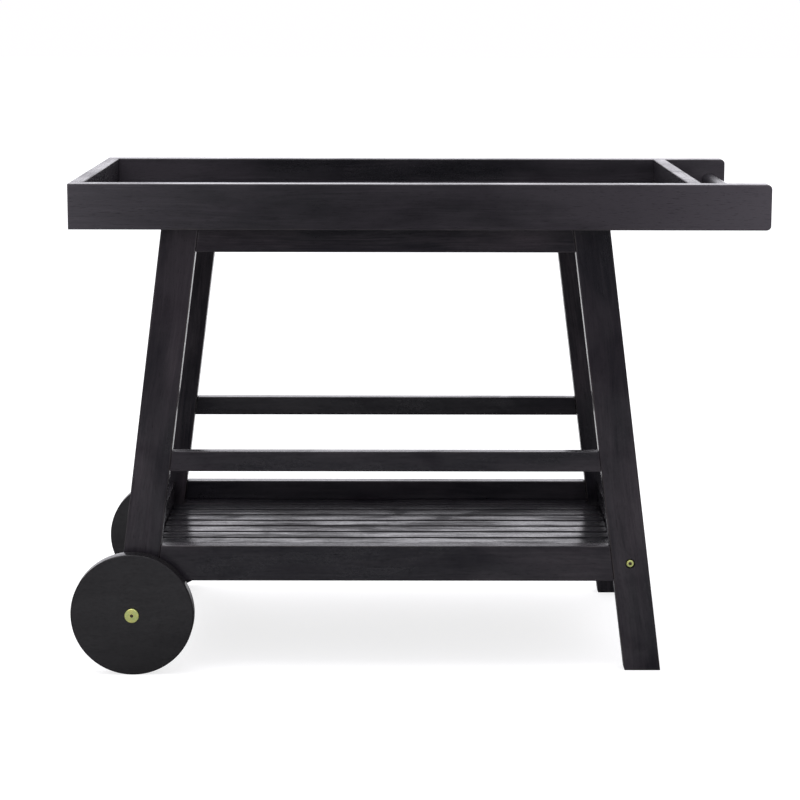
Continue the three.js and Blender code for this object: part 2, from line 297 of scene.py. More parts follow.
film = combine(tree, "SUBTRACT", combine(tree, "SUBTRACT", 1.0, thin),
               remap(tree, pore, 0, 1, 0, PORE_BREAKS_FILM))
speckle = remap(tree, stretched_noise(tree, bent, SPECKLE, 2, 0.6), 0.35, 0.6, LEAST_SPECKLE, 1.0)
sheen = combine(tree, "MULTIPLY", combine(tree, "MULTIPLY", film, given.outputs["Lacquer"]), speckle)
relief = combine(tree, "SUBTRACT", remap(tree, lines, 0.3, 0.7, 0, 0.5), pore)
tree.links.new(colour, made.inputs["Colour"])
tree.links.new(dull, made.inputs["Roughness"])
tree.links.new(sheen, made.inputs["Sheen"])
tree.links.new(relief, made.inputs["Height"])
grain_group = tree

# Where hands and cloths have rubbed the stain thin: on arrises, broken up along the grain.
RUBBED_PATCHES = (14, 60, 60)
tree, given, made = new_group(
    "Rubbed arris", [("Grain", "Vector", None), ("Arris", "Float", 0.0), ("Amount", "Float", 0.5)],
    [("Mask", "Float")])
patches = stretched_noise(tree, given.outputs["Grain"], RUBBED_PATCHES, 3, 0.6)
rubbed = combine(tree, "MULTIPLY", given.outputs["Arris"], remap(tree, patches, 0.42, 0.72))
mask = place_node(tree, "Math", {0: rubbed, 1: given.outputs["Amount"]}, operation="MULTIPLY",
                  use_clamp=True).outputs[0]
tree.links.new(mask, made.inputs["Mask"])
rubbed_group = tree

# Where the lacquer has been wiped dull in hand-sized patches that run across several boards.
WIPED_PATCHES = (6.5, 9.5, 9.5)
tree, given, made = new_group(
    "Wiped patches", [("Place", "Vector", None), ("Amount", "Float", 0.5)], [("Mask", "Float")])
stretched = place_node(tree, "VectorMath", {0: given.outputs["Place"], 1: WIPED_PATCHES},
                       operation="MULTIPLY")
patch = place_node(tree, "TexNoise", {"Vector": stretched.outputs[0], "Scale": 1.0, "Detail": 4.0,
                                      "Roughness": 0.55, "Distortion": 0.8})
dull = remap(tree, patch.outputs["Fac"], 0.52, 0.66)
tree.links.new(combine(tree, "MULTIPLY", dull, given.outputs["Amount"]), made.inputs["Mask"])
wiped_group = tree


def stained_finish(slot, dark, light, figure, roughness, specular, lacquer, on_arris, patchy, wiped,
                   rubbed, relief):
    """A black-stained wood under satin lacquer, which shows its grain and its rubbed arrises.

    Lacquer draws back from sharp arrises, and hands have wiped it dull in patches.
    """
    material = bpy.data.materials.new(slot)
    material.use_nodes = True
    tree = material.node_tree
    shader = tree.nodes["Principled BSDF"]
    grain = place_node(tree, "Attribute", attribute_name="grain").outputs["Vector"]
    arris = place_node(tree, "Attribute", attribute_name="arris").outputs["Fac"]
    wood = place_node(tree, "Group", node_tree=grain_group)
    worn = place_node(tree, "Group", node_tree=rubbed_group)
    for node in (wood, worn):
        tree.links.new(grain, node.inputs["Grain"])
    wood.inputs["Dark stain"].default_value = dark
    wood.inputs["Light stain"].default_value = light
    # The figure attribute also carries the back legs' painted fill light.
    figure_and_fill = place_node(tree, "Attribute", attribute_name="figure").outputs["Fac"]
    tree.links.new(combine(tree, "MULTIPLY", figure_and_fill, figure), wood.inputs["Figure"])
    from_middle = place_node(tree, "Attribute", attribute_name="from_middle").outputs["Fac"]
    tree.links.new(from_middle, wood.inputs["From middle"])
    wood.inputs["Matt roughness"].default_value = roughness
    wood.inputs["Lacquer"].default_value = lacquer
    wood.inputs["Patchiness"].default_value = patchy
    shader.inputs["Specular IOR Level"].default_value = specular
    shader.inputs["Coat Roughness"].default_value = LACQUER_ROUGHNESS
    shader.inputs["Coat IOR"].default_value = LACQUER_IOR
    worn.inputs["Amount"].default_value = rubbed
    tree.links.new(arris, worn.inputs["Arris"])
    colour = blend_values(tree, worn.outputs["Mask"], wood.outputs["Colour"], STAIN_RUBBED)
    tree.links.new(colour, shader.inputs["Base Color"])
    tree.links.new(wood.outputs["Roughness"], shader.inputs["Roughness"])
    dulled = place_node(tree, "Group", node_tree=wiped_group)
    tree.links.new(place_node(tree, "TexCoord").outputs["Object"], dulled.inputs["Place"])
    dulled.inputs["Amount"].default_value = wiped
    kept = combine(tree, "SUBTRACT", 1.0, dulled.outputs["Mask"])
    shine = combine(tree, "MULTIPLY", wood.outputs["Sheen"], kept)
    covered = remap(tree, arris, 0, 1, 1, on_arris)
    tree.links.new(combine(tree, "MULTIPLY", shine, covered), shader.inputs["Coat Weight"])
    bump = place_node(tree, "Bump", {"Height": wood.outputs["Height"], "Distance": relief,
                                     "Strength": 0.6})
    tree.links.new(bump.outputs["Normal"], shader.inputs["Normal"])
    return material


stained_wood = stained_finish("stained_wood", STAIN_DARK, STAIN_LIGHT, figure=0.9, roughness=0.60,
                              specular=0.05, lacquer=0.85, on_arris=0.9, patchy=0.3,
                              wiped=0.45, rubbed=0.35, relief=0.00007)

TRAY_DARK = (0.0018, 0.0017, 0.0034, 1)          # the tray's long rails took the stain deepest
TRAY_LIGHT = (0.022, 0.0186, 0.0235, 1)
tray_wood = stained_finish("stained_wood", TRAY_DARK, TRAY_LIGHT, figure=1.2, roughness=0.60,
                           specular=0.05, lacquer=0.9, on_arris=0.9, patchy=0.3,
                           wiped=0.3, rubbed=0.35, relief=0.00007)

CART = "cart_frame"
RAIL_GRAIN_SHOWS = 0.9
FRONT_RAIL_WEAR = 1.0           # the front rail's ends are handled most
BACK_RAIL_WEAR = 0.3

bar_low, bar_high = corners_of("handle_bar")
bar_centre, bar_diameter = (bar_low + bar_high) / 2, bar_high.x - bar_low.x
for side, wear in (("front", FRONT_RAIL_WEAR), ("back", BACK_RAIL_WEAR)):
    node = "tray_side_rail_" + side
    low, high = corners_of(node)
    rail = saw_board(node + "_wood", node)
    sides = facing(rail)
    bpy.ops.object.mode_set(mode="EDIT")
    choose(rail, "edges", lambda edge: all(v.co.x > high.x - HAIR for v in edge.verts)
           and abs(edge.verts[0].co.y - edge.verts[1].co.y) > HAIR)
    bpy.ops.mesh.bevel(offset=RAIL_END_ROUNDING, offset_type="OFFSET", segments=6, profile=0.5,
                       affect="EDGES")
    bpy.ops.object.mode_set(mode="OBJECT")
    ease_arrises(rail, RAIL_ARRIS, sides)
    inner = high.y if side == "front" else low.y
    socket_end = bar_low.y if side == "front" else bar_high.y
    depth = abs(inner - socket_end) + SOCKET_PLAY
    drill(rail, (bar_centre.x, inner, bar_centre.z), (0, 1, 0), bar_diameter + 2 * SOCKET_PLAY, 2 * depth)
    lay_grain(rail, (1, 0, 0), (0, 0, 1), RAIL_GRAIN_SHOWS, wear)
    finish_piece(rail, tray_wood, CART, node)


# ---- Tray end boards ----------------------------------------------------------------------
# Two short boards of the same stock that close the tray's ends between the side rails.
# They are dowelled and glued into the rails' inner faces.
BOARD_ARRIS = 0.0010

for end in ("left", "right"):
    node = "tray_end_board_" + end
    board = saw_board(node + "_wood", node)
    ease_arrises(board, BOARD_ARRIS, facing(board))
    lay_grain(board, (0, 1, 0), (0, 0, 1))
    finish_piece(board, stained_wood, CART, node)


# ---- Handle bar ---------------------------------------------------------------------------
# A turned round bar of the same wood, glued into the side rails' sockets.
# Its finish is a little glossier than the boards', from being held.
ACROSS_CART = (math.pi / 2, 0, 0)
SQUARE_ON = 0.99            # how closely the normal of a turned piece's end follows its axis
BAR_END_CHAMFER = 0.0012
BAR_WEAR = 0.2

turned_wood = stained_finish("turned_wood", STAIN_DARK, STAIN_LIGHT, figure=0.7, roughness=0.38,
                             specular=0.2, lacquer=0.85, on_arris=0.8, patchy=0.3,
                             wiped=0.2, rubbed=0.2, relief=0.00006)

bar = round_bar("handle_bar_wood", bar_centre, bar_diameter / 2, bar_high.y - bar_low.y,
                sides=64, turn=ACROSS_CART)
bpy.ops.object.mode_set(mode="EDIT")
choose(bar, "faces", lambda face: abs(face.normal.y) > SQUARE_ON)
bpy.ops.mesh.inset(thickness=BAR_END_CHAMFER, depth=BAR_END_CHAMFER, use_individual=True)
bpy.ops.object.mode_set(mode="OBJECT")
mask = bar.data.attributes.new("arris", "FLOAT", "POINT")
mask.data.foreach_set("value", [BAR_WEAR] * len(bar.data.vertices))
lay_grain(bar, (0, 1, 0), (1, 0, 0))
finish_piece(bar, turned_wood, CART, "handle_bar")


# ---- Slats of the tray and the shelf --------------------------------------------------------
# Eleven thin slats run along each floor, with a finger-nail's gap between them.
# They are screwed up from below through the battens. The shelf's outer two stop at the legs.
SLAT_ARRIS = 0.0017
SLAT_DARK = (0.0030, 0.0027, 0.0048, 1)
SLAT_LIGHT = (0.018, 0.015, 0.019, 1)

slat_wood = stained_finish("slat_wood", SLAT_DARK, SLAT_LIGHT, figure=1.0, roughness=0.66,
                           specular=0.04, lacquer=0.97, on_arris=0.25, patchy=0.75,
                           wiped=0.75, rubbed=0.2, relief=0.0001)


def nodes_named(start):
    """The nodes whose names start so, in order."""
    return sorted(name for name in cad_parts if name.startswith(start))


tray_slats, shelf_slats = nodes_named("tray_slat_"), nodes_named("shelf_slat_")
for node in tray_slats + shelf_slats:
    slat = saw_board(node + "_wood", node)
    ease_arrises(slat, SLAT_ARRIS, facing(slat))
    lay_grain(slat, (1, 0, 0), (0, 1, 0))
    finish_piece(slat, slat_wood, CART, node)


# ---- Battens under the slats ----------------------------------------------------------------
# Three flat battens cross under each floor and carry its slats.
# The tray's end pair are thick, and sit on the upper cross rails.
tray_battens, shelf_battens = nodes_named("tray_batten_"), nodes_named("shelf_batten_")
for node in tray_battens + shelf_battens:
    batten = saw_board(node + "_wood", node)
    ease_arrises(batten, RAIL_ARRIS, facing(batten))
    lay_grain(batten, (0, 1, 0), (1, 0, 0))
    finish_piece(batten, stained_wood, CART, node)


# ---- Legs -------------------------------------------------------------------------------------
# Four flat legs that splay along the cart. The pair at the handle reach the floor, and the pair
# at the wheels stop just below the axle that goes through them. A bolt in a counterbore goes
# through each one into the shelf's cross rail.
LEG_ARRIS = 0.0010
COUNTERBORE = 0.015
LEG_BOLT_SHANK = 0.008
BOLT_HOLE_PLAY = 0.0006
FRONT_LEG_GRAIN_SHOWS = 0.95
# The back legs' figure is set past their grain: painted fill light that lifts them out of the shade the
# tray casts on them.
BACK_LEG_GRAIN_AND_PAINTED_FILL = 1.7


def cut_to_splay(piece, node):
    """Slides the corners of a square-ended board along X to the node's own slanted ends."""
    low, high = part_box(node)
    corners = [v.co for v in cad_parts[node].data.vertices]
    bpy.ops.object.mode_set(mode="EDIT")
    for level in (low[2], high[2]):
        reach = [c.x for c in corners if abs(c.z - level) < HAIR]
        for end, wanted in ((low[0], min(reach)), (high[0], max(reach))):
            choose(piece, "verts", lambda v: abs(v.co.z - level) < HAIR and abs(v.co.x - end) < HAIR)
            bpy.ops.transform.translate(value=(wanted - end, 0, 0))
    bpy.ops.object.mode_set(mode="OBJECT")
    piece.data.update()


def middle(node):
    """The middle of a node's box, and its size."""
    low, high = corners_of(node)
    return (low + high) / 2, high - low


axle_centre, axle_size = middle("axle")
# The back legs get the raised figure, painted fill light against the tray's shade.
for side, outward, lightening in (("front", -1, FRONT_LEG_GRAIN_SHOWS),
                                   ("back", 1, BACK_LEG_GRAIN_AND_PAINTED_FILL)):
    for end in ("left", "right"):
        node = f"leg_{side}_{end}"
        bolt_centre = middle(f"leg_bolt_{side}_{end}")[0]
        leg_centre, leg_size = middle(node)
        leg = saw_board(node + "_wood", node)
        cut_to_splay(leg, node)
        sides = facing(leg)
        ease_arrises(leg, LEG_ARRIS, sides)
        face = leg_centre.y + outward * leg_size.y / 2
        near_bore = COUNTERBORE / 2 + HAIR
        bore_floor = next(c.y for c in (v.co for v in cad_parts[node].data.vertices)
                          if abs(c.x - bolt_centre.x) < near_bore
                          and abs(c.z - bolt_centre.z) < near_bore
                          and HAIR < abs(c.y - face) < leg_size.y - HAIR)
        depth = abs(face - bore_floor)
        drill(leg, (bolt_centre.x, face, bolt_centre.z), (0, 1, 0), COUNTERBORE, 2 * depth)
        drill(leg, (bolt_centre.x, leg_centre.y, bolt_centre.z), (0, 1, 0),
              LEG_BOLT_SHANK + BOLT_HOLE_PLAY, 2 * leg_size.y)
        if end == "left":
            drill(leg, (axle_centre.x, leg_centre.y, axle_centre.z), (0, 1, 0),
                  axle_size.x + BOLT_HOLE_PLAY, 2 * leg_size.y)
        slope = next(way for way in sides if abs(way.x) > abs(way.y) + abs(way.z))
        lay_grain(leg, slope.cross(Vector((0, 1, 0))), slope, lightening)
        finish_piece(leg, stained_wood, CART, node)


# ---- Rails along the cart -----------------------------------------------------------------------
# An apron under the tray, a guard rail half-way up and a shelf rail below stand between the legs
# on each side, flush with the legs' outer faces. Their ends are cut to the splay and dowelled.
APRON_GRAIN_SHOWS = 1.6
LOWER_RAIL_GRAIN_SHOWS = 0.7

for side in ("front", "back"):
    for kind, lightening in (("apron", APRON_GRAIN_SHOWS), ("guard_rail", LOWER_RAIL_GRAIN_SHOWS),
                              ("shelf_rail", LOWER_RAIL_GRAIN_SHOWS)):
        node = f"{kind}_{side}"
        rail = saw_board(node + "_wood", node)
        cut_to_splay(rail, node)
        ease_arrises(rail, BOARD_ARRIS, facing(rail))
        lay_grain(rail, (1, 0, 0), (0, 0, 1), lightening)
        finish_piece(rail, stained_wood, CART, node)


# ---- Cross rails --------------------------------------------------------------------------------
# Under each end of the tray, and at each end of the shelf, a rail goes from the front leg to the
# back leg. The lower pair take the leg bolts in their ends, and barrel nuts in holes across them.
BARREL_DIAMETER = 0.012
BARREL_FROM_BOLT_END = 0.008
BOLT_TIP_ROOM = 0.003
barrel_centres = {}

for end in ("left", "right"):
    node = "apron_" + end
    rail = saw_board(node + "_wood", node)
    ease_arrises(rail, BOARD_ARRIS, facing(rail))
    lay_grain(rail, (0, 1, 0), (0, 0, 1))
    finish_piece(rail, stained_wood, CART, node)

    node = "shelf_cross_rail_" + end
    rail_centre, rail_size = middle(node)
    rail = saw_board(node + "_wood", node)
    ease_arrises(rail, BOARD_ARRIS, facing(rail))
    for side, outward in (("front", -1), ("back", 1)):
        bolt_low, bolt_high = corners_of(f"leg_bolt_{side}_{end}")
        tip = bolt_high.y if outward < 0 else bolt_low.y
        rail_end = rail_centre.y + outward * rail_size.y / 2
        drill(rail, (rail_centre.x, rail_end, rail_centre.z), (0, 1, 0),
              LEG_BOLT_SHANK + BOLT_HOLE_PLAY, 2 * (abs(rail_end - tip) + BOLT_TIP_ROOM))
        barrel = Vector((rail_centre.x, tip + outward * BARREL_FROM_BOLT_END, rail_centre.z))
        drill(rail, barrel, (1, 0, 0), BARREL_DIAMETER, 2 * rail_size.x)
        barrel_centres[side, end] = barrel
    lay_grain(rail, (0, 1, 0), (0, 0, 1))
    finish_piece(rail, stained_wood, CART, node)


# ---- Wheels ---------------------------------------------------------------------------------------
# Two discs turned from one thick board, stained and left a little flatter than the frame.
# Their arrises are rounded, and a bore through the middle holds the bush.
WHEEL_ARRIS = 0.0024
TREAD_WEAR = 0.35           # rolling dulls the tread a little, and the rounded arrises more
WHEEL_DARK = (0.0075, 0.0070, 0.0080, 1)
WHEEL_LIGHT = (0.016, 0.014, 0.0155, 1)
FIT_GAP = 0.0003
SPECK = 1e-5                # the most that two corners of one turned ring can differ

wheel_wood = stained_finish("wheel_wood", WHEEL_DARK, WHEEL_LIGHT, figure=0.35, roughness=0.6,
                            specular=0.06, lacquer=0.85, on_arris=0.45, patchy=0.15,
                            wiped=0.15, rubbed=0.15, relief=0.00004)


def off_axis(corner, centre):
    """How far a corner lies from the axis through the centre, across the cart."""
    return math.hypot(corner.co.x - centre.x, corner.co.z - centre.z)


def turn_ring(name, node, bore, arris, sides, steps):
    """A ring turned to the node's diameter and thickness, with a round bore.

    steps is how many facets round its arrises.
    """
    centre, size = middle(node)
    radius = size.z / 2
    ring = round_bar(name, centre, radius, size.y, sides, ACROSS_CART)
    bpy.ops.object.mode_set(mode="EDIT")
    choose(ring, "faces", lambda face: abs(face.normal.y) > SQUARE_ON)
    bpy.ops.mesh.inset(thickness=radius - bore / 2, depth=0, use_individual=True)
    choose(ring, "edges", lambda edge: all(off_axis(v, centre) > radius - SPECK for v in edge.verts)
           and abs(edge.verts[0].co.y - edge.verts[1].co.y) < SPECK)
    bpy.ops.mesh.bevel(offset=arris, offset_type="OFFSET", segments=steps, profile=0.5, affect="EDGES")
    choose(ring, "faces", lambda face: abs(face.normal.y) > SQUARE_ON and len(face.verts) == sides)
    bpy.ops.mesh.delete(type="FACE")
    choose(ring, "edges", lambda edge: all(off_axis(v, centre) < bore / 2 + HAIR for v in edge.verts))
    bpy.ops.mesh.bridge_edge_loops()
    bpy.ops.mesh.select_all(action="SELECT")
    bpy.ops.mesh.normals_make_consistent(inside=False)
    bpy.ops.object.mode_set(mode="OBJECT")
    return ring


bush_size = middle("wheel_bush_front")[1]
for side in ("front", "back"):
    node = "wheel_" + side
    centre, size = middle(node)
    wheel = turn_ring(node + "_wood", node, bush_size.x + 2 * FIT_GAP, WHEEL_ARRIS, sides=128, steps=5)
    mask = wheel.data.attributes.new("arris", "FLOAT", "POINT")
    wear = []
    for v in wheel.data.vertices:
        from_tread = size.z / 2 - off_axis(v, centre)
        if from_tread < SPECK:
            wear.append(TREAD_WEAR)
        else:
            wear.append(float(from_tread < WHEEL_ARRIS - HAIR))
    mask.data.foreach_set("value", wear)
    lay_grain(wheel, (1, 0, 0), (0, 0, 1))
    finish_piece(wheel, wheel_wood, side + "_wheel", node)


# ---- Wheel bushes ---------------------------------------------------------------------------------
# A plain nylon sleeve is pressed into each wheel's bore and turns on the axle.
# It is left its natural off-white, with a matt moulded surface.
BUSH_PLAY = 0.00025
BUSH_ARRIS = 0.0004
TURNED_SHARP = math.radians(35)
ROUND_SIDES = 48
NYLON = (0.70, 0.69, 0.62, 1)
NYLON_SMUDGED = (0.50, 0.48, 0.42, 1)

bush_nylon = bpy.data.materials.new("bush_nylon")
bush_nylon.use_nodes = True
tree = bush_nylon.node_tree
shader = tree.nodes["Principled BSDF"]
shader.inputs["Subsurface Weight"].default_value = 0.0
place = place_node(tree, "TexCoord").outputs["Object"]
speckle = place_node(tree, "TexNoise", {"Vector": place, "Scale": 900.0, "Detail": 3.0})
smudge = place_node(tree, "TexNoise", {"Vector": place, "Scale": 110.0, "Detail": 2.0})
smudged = remap(tree, smudge.outputs["Fac"], 0.35, 0.75)
tree.links.new(blend_values(tree, smudged, NYLON, NYLON_SMUDGED), shader.inputs["Base Color"])
tree.links.new(remap(tree, speckle.outputs["Fac"], 0.3, 0.7, 0.45, 0.6), shader.inputs["Roughness"])
bump = place_node(tree, "Bump", {"Height": speckle.outputs["Fac"], "Distance": 0.00004,
                                 "Strength": 0.5})
tree.links.new(bump.outputs["Normal"], shader.inputs["Normal"])

axle_diameter = axle_size.x
for side in ("front", "back"):
    node = "wheel_bush_" + side
    bush = turn_ring(node + "_sleeve", node, axle_diameter + 2 * BUSH_PLAY, BUSH_ARRIS, ROUND_SIDES, 2)
    finish_piece(bush, bush_nylon, side + "_wheel", node, sharp=TURNED_SHARP)


# ---- Axle and washers -------------------------------------------------------------------------------
# A bright steel rod goes through both short legs and both wheels, with its ends drilled for the
# cap bolts. A plain washer keeps each wheel off its leg.
STEEL = (0.56, 0.57, 0.58, 1)
STEEL_TARNISHED = (0.40, 0.39, 0.38, 1)
# Painted shade: a dull dark brown for the floor of a recess, standing in for the shade inside it.
RECESS_PAINTED_SHADE = (0.040, 0.018, 0.010, 1)
WASHER_ARRIS = 0.0003
AXLE_DRILLING = 0.0066
AXLE_DRILL_DEPTH = 0.020

tree, given, made = new_group(
    "Handled metal", [("Place", "Vector", None), ("Clean roughness", "Float", 0.3)],
    [("Tarnish", "Float"), ("Roughness", "Float"), ("Height", "Float")])
cloud = place_node(tree, "TexNoise", {"Vector": given.outputs["Place"], "Scale": 160.0, "Detail": 3.0})
fine = place_node(tree, "TexNoise", {"Vector": given.outputs["Place"], "Scale": 1400.0, "Detail": 2.0})
tarnish = remap(tree, cloud.outputs["Fac"], 0.38, 0.68)
tree.links.new(tarnish, made.inputs["Tarnish"])
uneven = remap(tree, cloud.outputs["Fac"], 0.3, 0.7, -0.05, 0.1)
worn_sheen = place_node(tree, "Math", {0: uneven, 1: given.outputs["Clean roughness"]},
                        operation="ADD", use_clamp=True)
tree.links.new(worn_sheen.outputs[0], made.inputs["Roughness"])
tree.links.new(fine.outputs["Fac"], made.inputs["Height"])
handled_group = tree


def metal_finish(slot, clean, tarnished, roughness, recessed=False):
    """Bare or plated metal with a cloudy tarnish, fine handling marks, and painted shade in any recess."""
    material = bpy.data.materials.new(slot)
    material.use_nodes = True
    tree = material.node_tree
    shader = tree.nodes["Principled BSDF"]
    place = place_node(tree, "TexCoord").outputs["Object"]
    marks = place_node(tree, "Group", node_tree=handled_group)
    tree.links.new(place, marks.inputs["Place"])
    marks.inputs["Clean roughness"].default_value = roughness
    colour = blend_values(tree, marks.outputs["Tarnish"], clean, tarnished)
    shader.inputs["Metallic"].default_value = 1.0
    # Painted shade: a recess floor is darkened and loses its metal, in place of the shade that falls there.
    if recessed:
        painted_shade = place_node(tree, "Attribute", attribute_name="recess_shade").outputs["Fac"]
        colour = blend_values(tree, painted_shade, colour, RECESS_PAINTED_SHADE)
        tree.links.new(combine(tree, "SUBTRACT", 1.0, painted_shade), shader.inputs["Metallic"])
    tree.links.new(colour, shader.inputs["Base Color"])
    tree.links.new(marks.outputs["Roughness"], shader.inputs["Roughness"])
    bump = place_node(tree, "Bump", {"Height": marks.outputs["Height"], "Distance": 0.00003,
                                     "Strength": 0.4})
    tree.links.new(bump.outputs["Normal"], shader.inputs["Normal"])
    return material


def extrude(move):
    """Draws the selected faces out by a move, or pushes them in."""
    bpy.ops.mesh.extrude_region_move(TRANSFORM_OT_translate={"value": move})


axle_steel = metal_finish("axle_steel", STEEL, STEEL_TARNISHED, roughness=0.3)

for side in ("front", "back"):
    node = "axle_washer_" + side
    washer = turn_ring(node + "_steel", node, axle_diameter + 2 * BUSH_PLAY, WASHER_ARRIS,
                       ROUND_SIDES, 2)
    finish_piece(washer, axle_steel, CART, node, sharp=TURNED_SHARP)

axle = round_bar("axle_rod_steel", axle_centre, axle_diameter / 2, axle_size.y, ROUND_SIDES,
                 ACROSS_CART)
bpy.ops.object.mode_set(mode="EDIT")
choose(axle, "faces", lambda face: abs(face.normal.y) > SQUARE_ON)
bpy.ops.mesh.inset(thickness=(axle_diameter - AXLE_DRILLING) / 2, depth=0, use_individual=True)
for outward in (-1, 1):
    choose(axle, "faces", lambda face: face.normal.y * outward > SQUARE_ON
           and len(face.verts) == ROUND_SIDES)
    extrude((0, -outward * AXLE_DRILL_DEPTH, 0))
bpy.ops.object.mode_set(mode="OBJECT")
finish_piece(axle, axle_steel, CART, "axle", sharp=TURNED_SHARP)


# ---- Cap bolts and leg bolts --------------------------------------------------------------------------
# Furniture bolts with yellow zinc plating and a hex socket. A broad flat head caps each end of the
# axle, and a small head sits down in a counterbore near the foot of each leg.
ZINC_YELLOW = (0.66, 0.66, 0.23, 1)
ZINC_GREEN = (0.46, 0.56, 0.22, 1)
CAP_HEAD_HEIGHT = 0.004
CAP_SHANK = 0.006
LEG_BOLT_HEAD_HEIGHT = 0.005
HEAD_ROUNDING = 0.28            # of a head's height
SOCKET_DEPTH = 0.6              # of a head's height
HEX_KEY = 0.005
BOLT_POINT = 0.0012
POINT_TAPER = 0.8

fixing_brass = metal_finish("fixing_brass", ZINC_YELLOW, ZINC_GREEN, roughness=0.24, recessed=True)


def turn_bolt(name, node, outward, head_height, shank):
    """A bolt of the node's length and head, along Y, its head outward and a hex socket in it."""
    centre, size = middle(node)
    radius = size.z / 2
    head_top = centre.y + outward * size.y / 2
    bolt = round_bar(name, (centre.x, head_top - outward * head_height / 2, centre.z), radius,
                     head_height, ROUND_SIDES, ACROSS_CART)
    bpy.ops.object.mode_set(mode="EDIT")
    choose(bolt, "edges", lambda edge: all(abs(v.co.y - head_top) < SPECK for v in edge.verts))
    bpy.ops.mesh.bevel(offset=head_height * HEAD_ROUNDING, offset_type="OFFSET", segments=4,
                       profile=0.5, affect="EDGES")
    choose(bolt, "faces", lambda face: face.normal.y * outward < -SQUARE_ON)
    bpy.ops.mesh.inset(thickness=radius - shank / 2, depth=0, use_individual=True)
    extrude((0, -outward * (size.y - head_height - BOLT_POINT), 0))
    extrude((0, -outward * BOLT_POINT, 0))
    bpy.ops.transform.resize(value=(POINT_TAPER, 1, POINT_TAPER),
                             center_override=(centre.x, head_top, centre.z))
    bpy.ops.object.mode_set(mode="OBJECT")
    socket_depth = head_height * SOCKET_DEPTH
    across = 2 * HEX_KEY / math.sqrt(3)
    drill(bolt, (centre.x, head_top, centre.z), (0, 1, 0), across, 2 * socket_depth, sides=6)
    # The socket's floor is marked for painted shade.
    floor_level = head_top - outward * socket_depth
    recess_shade = bolt.data.attributes.new("recess_shade", "FLOAT", "POINT")
    recess_shade.data.foreach_set("value", [
        float(abs(v.co.y - floor_level) < SPECK and off_axis(v, centre) < across)
        for v in bolt.data.vertices])
    return bolt


for side, outward in (("front", -1), ("back", 1)):
    node = "axle_cap_bolt_" + side
    cap = turn_bolt(node + "_zinc", node, outward, CAP_HEAD_HEIGHT, CAP_SHANK)
    finish_piece(cap, fixing_brass, CART, node, sharp=TURNED_SHARP)
    for end in ("left", "right"):
        node = f"leg_bolt_{side}_{end}"
        bolt = turn_bolt(node + "_zinc", node, outward, LEG_BOLT_HEAD_HEIGHT, LEG_BOLT_SHANK)
        finish_piece(bolt, fixing_brass, CART, node, sharp=TURNED_SHARP)


# ---- Barrel nuts ---------------------------------------------------------------------------------------
# A steel cross dowel sits near each end of the lower cross rails, where it takes the tip of a
# leg bolt. It is turned with chamfered ends, and the bolt's hole goes across its middle.
ALONG_CART = (0, math.pi / 2, 0)
NUT_LENGTH = 0.018
NUT_CHAMFER = 0.0008
NUT_PLAY = 0.00025
NUT_HOLE_PLAY = 0.0002
NUT_DRILL_LENGTH = 0.03

for (side, end), centre in barrel_centres.items():
    nut = round_bar(f"barrel_nut_{side}_{end}", centre, BARREL_DIAMETER / 2 - NUT_PLAY, NUT_LENGTH,
                    sides=40, turn=ALONG_CART)
    bpy.ops.object.mode_set(mode="EDIT")
    choose(nut, "edges", lambda edge: abs(edge.verts[0].co.x - edge.verts[1].co.x) < SPECK)
    bpy.ops.mesh.bevel(offset=NUT_CHAMFER, offset_type="OFFSET", segments=2, profile=0.5,
                       affect="EDGES")
    bpy.ops.object.mode_set(mode="OBJECT")
    drill(nut, centre, (0, 1, 0), LEG_BOLT_SHANK + NUT_HOLE_PLAY, NUT_DRILL_LENGTH)
    finish_piece(nut, axle_steel, CART, sharp=TURNED_SHARP)


# ---- Screws ------------------------------------------------------------------------------------------
# Yellow-plated countersunk screws with a cross recess, driven up from below so none shows on top.
# One goes through the batten under each slat, and two through each upper cross rail hold the tray.
SCREW_SIDES = 12
SCREW_HEAD = 0.007
SCREW_CONE = 0.0024
SCREW_SHANK = 0.0034
SCREW_POINT = 0.004
SCREW_POINT_TAPER = 0.15
SCREW_PROUD = 0.0002
RECESS_HALF_WIDTH = 0.00045
RECESS_REACH = 0.0019
RECESS_DEPTH = 0.0016
RECESS_TAPER = 0.6
MODEL_LENGTH = 0.02

model = round_bar("screw_model", (0, 0, -SCREW_PROUD / 2), SCREW_HEAD / 2, SCREW_PROUD, SCREW_SIDES,
                  turn=(0, 0, 0))
bpy.ops.object.mode_set(mode="EDIT")
choose(model, "faces", lambda face: face.normal.z > SQUARE_ON)
for rise, narrow in ((SCREW_CONE, SCREW_SHANK / SCREW_HEAD),
                     (MODEL_LENGTH - SCREW_CONE - SCREW_POINT, 1), (SCREW_POINT, SCREW_POINT_TAPER)):
    extrude((0, 0, rise))
    bpy.ops.transform.resize(value=(narrow, narrow, 1), center_override=(0, 0, 0))
choose(model, "faces", lambda face: face.normal.z < -SQUARE_ON)
bpy.ops.mesh.inset(thickness=SCREW_HEAD / 2 - RECESS_REACH, depth=0)
around = sorted((v for v in bmesh.from_edit_mesh(model.data).verts if v.select),
                key=lambda v: math.atan2(v.co.y, v.co.x))
wanted = []
for quarter in range(4):
    turn = Matrix.Rotation(quarter * math.pi / 2 - math.pi, 3, "Z")
    for corner in ((RECESS_REACH, RECESS_HALF_WIDTH), (RECESS_HALF_WIDTH, RECESS_HALF_WIDTH),
                   (RECESS_HALF_WIDTH, RECESS_REACH)):
        wanted.append(turn @ Vector((*corner, 0)))
wanted.sort(key=lambda place: math.atan2(place.y, place.x))
for place, corner in zip(wanted, [v.co.copy() for v in around]):
    choose(model, "verts", lambda v: (v.co - corner).length < SPECK)
    bpy.ops.transform.translate(value=(place.x - corner.x, place.y - corner.y, 0))
